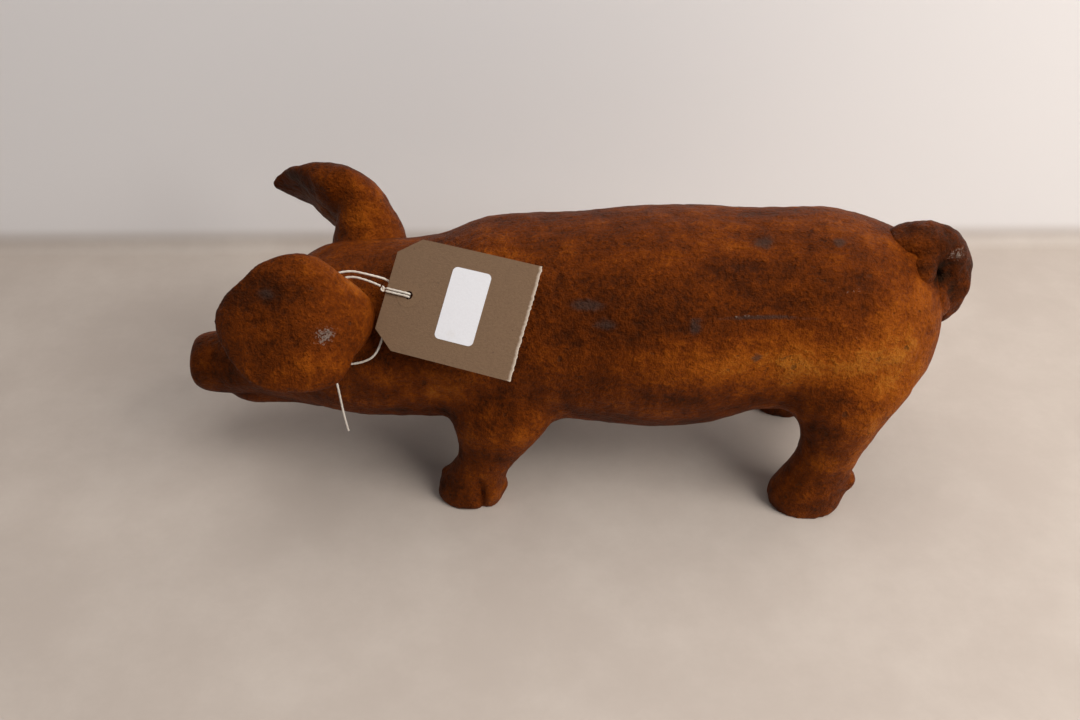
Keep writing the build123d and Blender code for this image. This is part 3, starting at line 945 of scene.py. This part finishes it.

# %% [markdown]
# ## Where the rust differs, and painted light and shade
# The rust is golden and powdery on the lower flank, haunch and rump, and darker on the upper flank, the
# ears' tops and the tail, where hands have rubbed it. Part of the gold on the rump and haunch, and the gold
# on the front heel and on the rears of the legs and the ear, is painted light on the sides that face the
# window on the right. The dark dimple by the tail is painted shade. Some marks are bare grey iron. Each mark
# is a bell curve round a place on the skin, and the sums are kept on the mesh for the finish to read. Both
# flanks get the same broad tones.

# %% Places where the rust differs
TONES_AND_PAINTED_LIGHT = {
    # The rump, haunch, front heel and the rears of the legs and the ear face the window on the right: their
    # gold is partly painted light.
    "rump": ((0.182, -0.042, 0.120), (0.026, 0.040, 0.044), 0.26),
    "haunch": ((0.162, -0.052, 0.096), (0.026, 0.040, 0.030), 0.24),
    "lower flank": ((0.086, -0.056, 0.109), (0.044, 0.040, 0.016), 0.32),
    "flank before haunch": ((0.122, -0.052, 0.108), (0.030, 0.040, 0.016), 0.16),
    "lit rear of hind leg": ((0.160, -0.058, 0.050), (0.018, 0.030, 0.022), 0.20),
    "lit rear of front leg": ((-0.015, -0.056, 0.062), (0.016, 0.030, 0.022), 0.22),
    "neck": ((-0.066, -0.052, 0.085), (0.022, 0.030, 0.016), 0.32),
    "lower ear": ((-0.125, -0.081, 0.119), (0.020, 0.024, 0.018), 0.08),
    "lit rear of ear": ((-0.109, -0.038, 0.141), (0.016, 0.016, 0.020), 0.22),
    "upper haunch": ((0.148, -0.042, 0.136), (0.022, 0.030, 0.018), -0.06),
    # The dark dimple by the tail is painted shade in the recess beside the curl.
    "painted shade in dimple by tail": ((0.192, -0.010, 0.134), (0.006, 0.010, 0.006), -0.45),
    "lit front heel": ((-0.038, -0.055, 0.012), (0.008, 0.012, 0.014), 0.22),
    "upper flank": ((0.037, -0.045, 0.136), (0.060, 0.030, 0.022), -0.16),
    "snout": ((-0.205, 0.0, 0.060), (0.030, 0.040, 0.040), -0.04),
    "upper ear": ((-0.146, -0.065, 0.150), (0.018, 0.020, 0.014), -0.20),
    "shoulder": ((-0.034, -0.054, 0.078), (0.016, 0.030, 0.022), -0.14),
    "front of hind leg": ((0.143, -0.061, 0.073), (0.014, 0.030, 0.018), -0.10),
    "tail": ((0.200, 0.0, 0.140), (0.018, 0.040, 0.030), -0.18),
}
GREY_SPOTS = (
    ((0.0996, -0.0161, 0.1550), (0.0075, 0.0060, 0.0050)),
    ((0.1384, -0.0161, 0.1559), (0.0050, 0.0040, 0.0040)),
    ((0.0973, -0.0551, 0.1115), (0.0040, 0.0060, 0.0036)),
    ((0.0649, -0.0529, 0.1271), (0.0045, 0.0060, 0.0046)),
    ((0.0990, -0.0480, 0.1308), (0.0320, 0.0080, 0.0013)),
    ((0.0095, -0.0439, 0.1333), (0.0120, 0.0050, 0.0032)),
    ((0.0204, -0.0506, 0.1260), (0.0080, 0.0060, 0.0042)),
    ((-0.1464, -0.0647, 0.1496), (0.0070, 0.0070, 0.0040)),
    ((-0.1600, 0.0540, 0.1490), (0.0100, 0.0090, 0.0060)),
    ((0.0700, 0.0500, 0.1300), (0.0100, 0.0080, 0.0040)),
    ((-0.0300, 0.0480, 0.1150), (0.0060, 0.0080, 0.0050)),
    ((0.1500, 0.0500, 0.1200), (0.0060, 0.0080, 0.0070)),
)
WORN_PLACES = {
    "flank scratch": ((0.0920, -0.0480, 0.1312), (0.0230, 0.0080, 0.0011), 0.62),
    "ear": ((-0.1178, -0.0717, 0.1313), (0.0075, 0.0075, 0.0060), 0.95),
    "bend of tail": ((0.2020, -0.0097, 0.1455), (0.0075, 0.0100, 0.0050), 0.80),
    "upper haunch": ((0.1445, -0.0381, 0.1423), (0.0120, 0.0080, 0.0060), 0.42),
    "rump": ((0.1500, -0.0500, 0.1220), (0.0110, 0.0080, 0.0080), 0.40),
}

print(len(TONES_AND_PAINTED_LIGHT), "tones,", len(GREY_SPOTS), "grey spots and", len(WORN_PLACES), "worn places")

# %% Paint on the points
CORNER_SHADE_ROUNDS, CORNER_SHADE_DEPTH = 14, 0.0006


def sum_of_marks(points, marks):
    """The sum of bell curves, each with its own amount."""
    return sum(amount * near(points, middle, reach) for middle, reach, amount in marks.values())


def paint_rust(mesh):
    """Keep the broad tone with its painted light and shade, the grey spots, the worn places and the
    inner corners on a casting's points.

    A point lies in an inner corner where the averaged skin stands outside it. The finish darkens the
    inner corners as painted shade.
    """
    points = mesh_points(mesh)
    folded = points * (1, 0, 1)
    folded[:, 1] = -np.abs(points[:, 1])
    edges = mesh_edges(mesh)
    flat = points
    for _ in range(CORNER_SHADE_ROUNDS):
        flat = neighbour_middle(flat, edges)
    hollow = np.sum((flat - points) * mesh_normals(mesh), axis=1)
    set_paint(mesh, "tone", sum_of_marks(folded, TONES_AND_PAINTED_LIGHT))
    set_paint(mesh, "grey", np.clip(sum(near(points, middle, reach) for middle, reach in GREY_SPOTS), 0, 1))
    set_paint(mesh, "worn", sum_of_marks(points, WORN_PLACES))
    # Inner corners are kept here so that the finish can darken them as painted shade.
    set_paint(mesh, "hollow", np.clip(hollow / CORNER_SHADE_DEPTH, 0, 1))


paint_rust(body_mesh)
print("painted", [layer.name for layer in body_mesh.attributes if layer.data_type == "FLOAT"])

# %% [markdown]
# ## Rust
# The finish starts from one level, from dark to golden, made of the painted tone with its painted light and
# shade, noise from broad clouds down to fine grain, and runs low on the legs. The level drops in inner
# corners as painted shade. A ramp turns the level into colour. Grey spots and worn places come on top,
# smoother and partly metal, and three bumps give the skin, the grain and the pits. Faint lines run along the
# back, as a pattern-maker's scraper leaves them.

# %% Rust finish
RUST_STOPS = (
    (0.00, (0.013, 0.0050, 0.0028)),
    (0.26, (0.050, 0.0090, 0.0012)),
    (0.50, (0.128, 0.0240, 0.0016)),
    (0.74, (0.262, 0.0600, 0.0036)),
    (1.00, (0.400, 0.1320, 0.0140)),
)
PIT_TONE = (0.030, 0.014, 0.009)
GREY_TONE = (0.038, 0.025, 0.021)
WORN_TONE = (0.230, 0.185, 0.155)
SKIN_DEPTH, GRAIN_DEPTH, PIT_DEPTH = 0.0042, 0.0018, 0.0008
BACK_FROM, BACK_TO = 0.135, 0.155
RUNS_FROM, RUNS_TO = 0.115, 0.075


def rust_finish(name, base_level, roughness):
    """Rusted iron whose colour starts from a base level between dark, 0, and golden, 1."""
    rust = Finish(name)
    place = rust.place()
    broad = rust.noise(place, 15.0, 5.0, 0.6)
    drawn = rust.noise(rust.stretched(place, (0.30, 1.0, 1.0)), 65.0, 4.0)
    mottle = rust.noise(place, 85.0, 5.0, 0.62)
    grain = rust.noise(place, 420.0, 4.0, 0.65)
    fine = rust.noise(place, 1150.0, 3.0, 0.6)
    pits = rust.ramp(rust.noise(place, 210.0, 2.0), 0.66, 0.76)
    # The painted tone holds the rust's own tone, painted light on the window side and painted shade in the
    # tail's dimple.
    level = base_level + rust.paint("tone") + (broad - 0.5) * 0.50 + (drawn - 0.5) * 0.60
    level = level + (mottle - 0.5) * 0.55 + (grain - 0.5) * 0.60 + (fine - 0.5) * 0.36
    height = rust.node("ShaderNodeSeparateXYZ", {}, {0: place}, "Z")
    runs = rust.noise(rust.stretched(place, (1.0, 1.0, 0.22)), 130.0, 4.0)
    low_down = rust.ramp(height, RUNS_FROM, RUNS_TO)
    # The level drops in inner corners: painted shade.
    level = level + (runs - 0.5) * low_down * 0.6 - rust.paint("hollow") * 0.18
    tone = rust.node("ShaderNodeValToRGB", {"stops": RUST_STOPS}, {0: level})
    tone = rust.mix(pits * 0.55, tone, PIT_TONE)
    grey = rust.ramp(rust.paint("grey") + (mottle - 0.5) * 1.1 + (grain - 0.5) * 0.9, 0.40, 0.95)
    tone = rust.mix(grey * 0.75, tone, GREY_TONE)
    worn = rust.ramp(rust.paint("worn") + (grain - 0.5) * 1.6 + (fine - 0.5) * 1.6, 0.62, 0.95)
    tone = rust.mix(worn * 0.8, tone, WORN_TONE)
    lines = rust.noise(rust.stretched(place, (0.03, 1.0, 1.0)), 340.0, 2.0)
    lines = lines * rust.ramp(height, BACK_FROM, BACK_TO)
    bumped = rust.bump(lines * 0.3 + mottle, SKIN_DEPTH)
    bumped = rust.bump(grain + fine * 0.4, GRAIN_DEPTH, bumped)
    bumped = rust.bump(1 - pits, PIT_DEPTH, bumped)
    return rust.finish(
        Base_Color=tone,
        Roughness=roughness + (grain - 0.5) * 0.25 - grey * 0.12 - worn * 0.22,
        Metallic=worn * 0.75 + grey * 0.2,
        Specular_IOR_Level=0.12,
        Specular_Tint=(1.0, 0.55, 0.25),
        Normal=bumped,
    )


rust = rust_finish("rust", base_level=0.44, roughness=0.56)
dark_rust = rust_finish("dark rust", base_level=0.36, roughness=0.48)
print("finishes", rust.name, "and", dark_rust.name)

# %% [markdown]
# ## Halves apart
# The two castings meet on a flat joint along the middle. A plane cuts the painted skin in two there, and
# a fill closes each cut, so that each half is a closed piece of its own.

# %% Halves apart
HALF_CREASE = math.radians(60)


def cut_half(name, outward):
    """One half of the body, cut along the seam and with the cut closed."""
    shape = bmesh.new()
    shape.from_mesh(body_mesh)
    everything = shape.verts[:] + shape.edges[:] + shape.faces[:]
    cut = bmesh.ops.bisect_plane(
        shape, geom=everything, plane_co=(0, 0, 0), plane_no=(0, -outward, 0), clear_outer=True
    )
    rim = [part for part in cut["geom_cut"] if isinstance(part, bmesh.types.BMEdge)]
    bmesh.ops.triangle_fill(shape, edges=rim, use_beauty=True, normal=(0, -outward, 0))
    mesh = bpy.data.meshes.new(name)
    shape.to_mesh(mesh)
    shape.free()
    return mesh


for node, outward in (("left_half", -1), ("right_half", 1)):
    mesh = cut_half(node + "_skin", outward)
    half = add_piece(node + "_skin", mesh, rust, "pig", "rusted_iron", node)
    mesh.set_sharp_from_angle(angle=HALF_CREASE)
    mesh.calc_loop_triangles()
    print(half.name, len(mesh.loop_triangles), "triangles")
bpy.data.meshes.remove(body_mesh)

# %% [markdown]
# ## Ears and tail
# The ears are thick flaps with lumpy rims, and the tail is a curl with knuckles along it. They take the
# same steps as the halves on a finer grid, with larger lumps.

# %% Ear forms
EAR_ROOT = np.array((-0.1163, 0.0366, 0.1153))
EAR_TILT = math.radians(33.5)
EAR_RISE = 0.036
SEAT_PRESS, SEAT_HEIGHT = 0.0014, 0.012
TIP_LIFT, TIP_NARROWING = 0.0045, 0.36
CROOK_FILL = 0.0080
ROOT_SHIFT, ROOT_WIDENING = 0.0016, 0.26


def step(values, low, high):
    """0 below low, 1 above high, and a smooth cubic between."""
    share = np.clip((values - low) / (high - low), 0, 1)
    return share * share * (3 - 2 * share)


def ear_places(points, side):
    """Forward, across and outward distances from an ear's root, and the last two directions.

    The side is -1 for left and 1 for right.
    """
    across = np.array((0.0, -side * math.sin(EAR_TILT), math.cos(EAR_TILT)))
    outward = np.array((0.0, side * math.cos(EAR_TILT), math.sin(EAR_TILT)))
    away = points - EAR_ROOT * (1, side, 1)
    return -away[:, 0], away @ across, away @ outward, across, outward


def seat_press(outward):
    """How far an ear's foot is pressed to the head: most at its seat, and not above the seat's height."""
    return SEAT_PRESS * (1 - step(outward, 0.0, SEAT_HEIGHT))


def shape_right_ear(points):
    """Narrow and lift the flap's tip, widen the stalk's root, and fill the crook between the two."""
    forward, across, outward, across_way, outward_way = ear_places(points, 1)
    crook = step(forward, 0.008, 0.020) * (1 - step(forward, 0.024, 0.040))
    crook *= step(outward, 0.008, 0.022) * (1 - step(outward, 0.029, 0.041))
    lift = TIP_LIFT * step(forward, 0.032, 0.056) - CROOK_FILL * crook
    narrow = TIP_NARROWING * step(forward, 0.010, 0.052)
    root = 1 - step(outward, 0.0, 0.9 * EAR_RISE)
    moved = points - (narrow * across)[:, None] * across_way
    moved[:, 0] += root * (ROOT_SHIFT - ROOT_WIDENING * forward)
    return moved + (lift - seat_press(outward))[:, None] * outward_way


def shape_left_ear(points):
    """Flatten the flap's upper front, and let its lower rear hang further out and back."""
    forward, across, outward, across_way, outward_way = ear_places(points, -1)
    on_flap = step(outward, 0.45 * EAR_RISE, 0.75 * EAR_RISE)
    upper_front = step(forward, 0.010, 0.050) * step(across, 0.0, 0.030)
    lower_rear = on_flap * step(-across, 0.004, 0.030) * step(-forward, -0.034, 0.010)
    moved = points - (0.0050 * upper_front + 0.0040 * lower_rear)[:, None] * across_way
    moved[:, 0] += 0.0035 * upper_front + 0.0050 * lower_rear
    return moved - seat_press(outward)[:, None] * outward_way


print("ears rooted", EAR_ROOT, "from the origin")

# %% Ears
SMALL_SMOOTHING = 6
EAR_FILL = 160
EAR_LUMPS = (0.0006, 0.00022)

for node, shape_ear in (("left_ear", shape_left_ear), ("right_ear", shape_right_ear)):
    mesh = even_grid(node + "_skin", node_triangles(node), SMALL_VOXEL)
    smooth(mesh, SMALL_SMOOTHING)
    fill_corners(mesh, 1.0, EAR_FILL)
    move_points(mesh, shape_ear(mesh_points(mesh)))
    smooth(mesh, SMALL_SMOOTHING)
    roughen(mesh, *EAR_LUMPS)
    paint_rust(mesh)
    add_piece(node + "_skin", mesh, rust, "pig", "rusted_iron", node)
    print(node, len(mesh.polygons), "quads")

# %% Tail
TAIL_LOBES = (
    ((0.1940, 0.0, 0.1330), (0.0110, 0.0060, 0.0150), 0.0),
    ((0.1915, -0.0115, 0.1180), (0.0105, 0.0110, 0.0140), 20.0),
    ((0.1830, -0.0105, 0.1360), (0.0085, 0.0120, 0.0120), 38.0),
)
TAIL_MOVES = (
    ((0.1737, -0.003, 0.1555), (0.0065, 0.0120, 0.0060), (0.0010, 0.0, -0.0026)),
    ((0.1965, -0.003, 0.1560), (0.0060, 0.0120, 0.0050), (-0.0008, 0.0, -0.0016)),
)
TAIL_FILL = 60
TAIL_LUMPS = (0.0013, 0.00040)

lobes = [ball_triangles(*values) for values in TAIL_LOBES]
mesh = even_grid("tail_skin", np.concatenate([node_triangles("tail"), *lobes]), SMALL_VOXEL)
smooth(mesh, SMALL_SMOOTHING)
fill_corners(mesh, 1.0, TAIL_FILL)
push(mesh, TAIL_MOVES)
roughen(mesh, *TAIL_LUMPS)
paint_rust(mesh)
add_piece("tail_skin", mesh, dark_rust, "pig", "worn_iron", "tail")
print("tail", len(mesh.polygons), "quads")

# %% [markdown]
# ## Fixings
# The screws, bolts and washers keep their CAD form. They are plain steel, brown with rust and brighter
# where a driver has rubbed them.

# %% Fixing finish
steel = Finish("fixing steel")
place = steel.place()
film = steel.noise(place, 260.0, 4.0)
rubbed = steel.ramp(film, 0.45, 0.62)
tone = steel.mix(rubbed, (0.110, 0.048, 0.020), (0.260, 0.215, 0.180))
steel_finish = steel.finish(
    Base_Color=tone,
    Roughness=0.7 - rubbed * 0.25,
    Metallic=rubbed * 0.8,
    Normal=steel.bump(film, 0.0003),
)
for node in ("tie_screws", "ear_bolts", "ear_washers"):
    fixing = frame["nodes"][node]
    fixing.data.materials.clear()
    fixing.data.materials.append(steel_finish)
print("fixings finished")
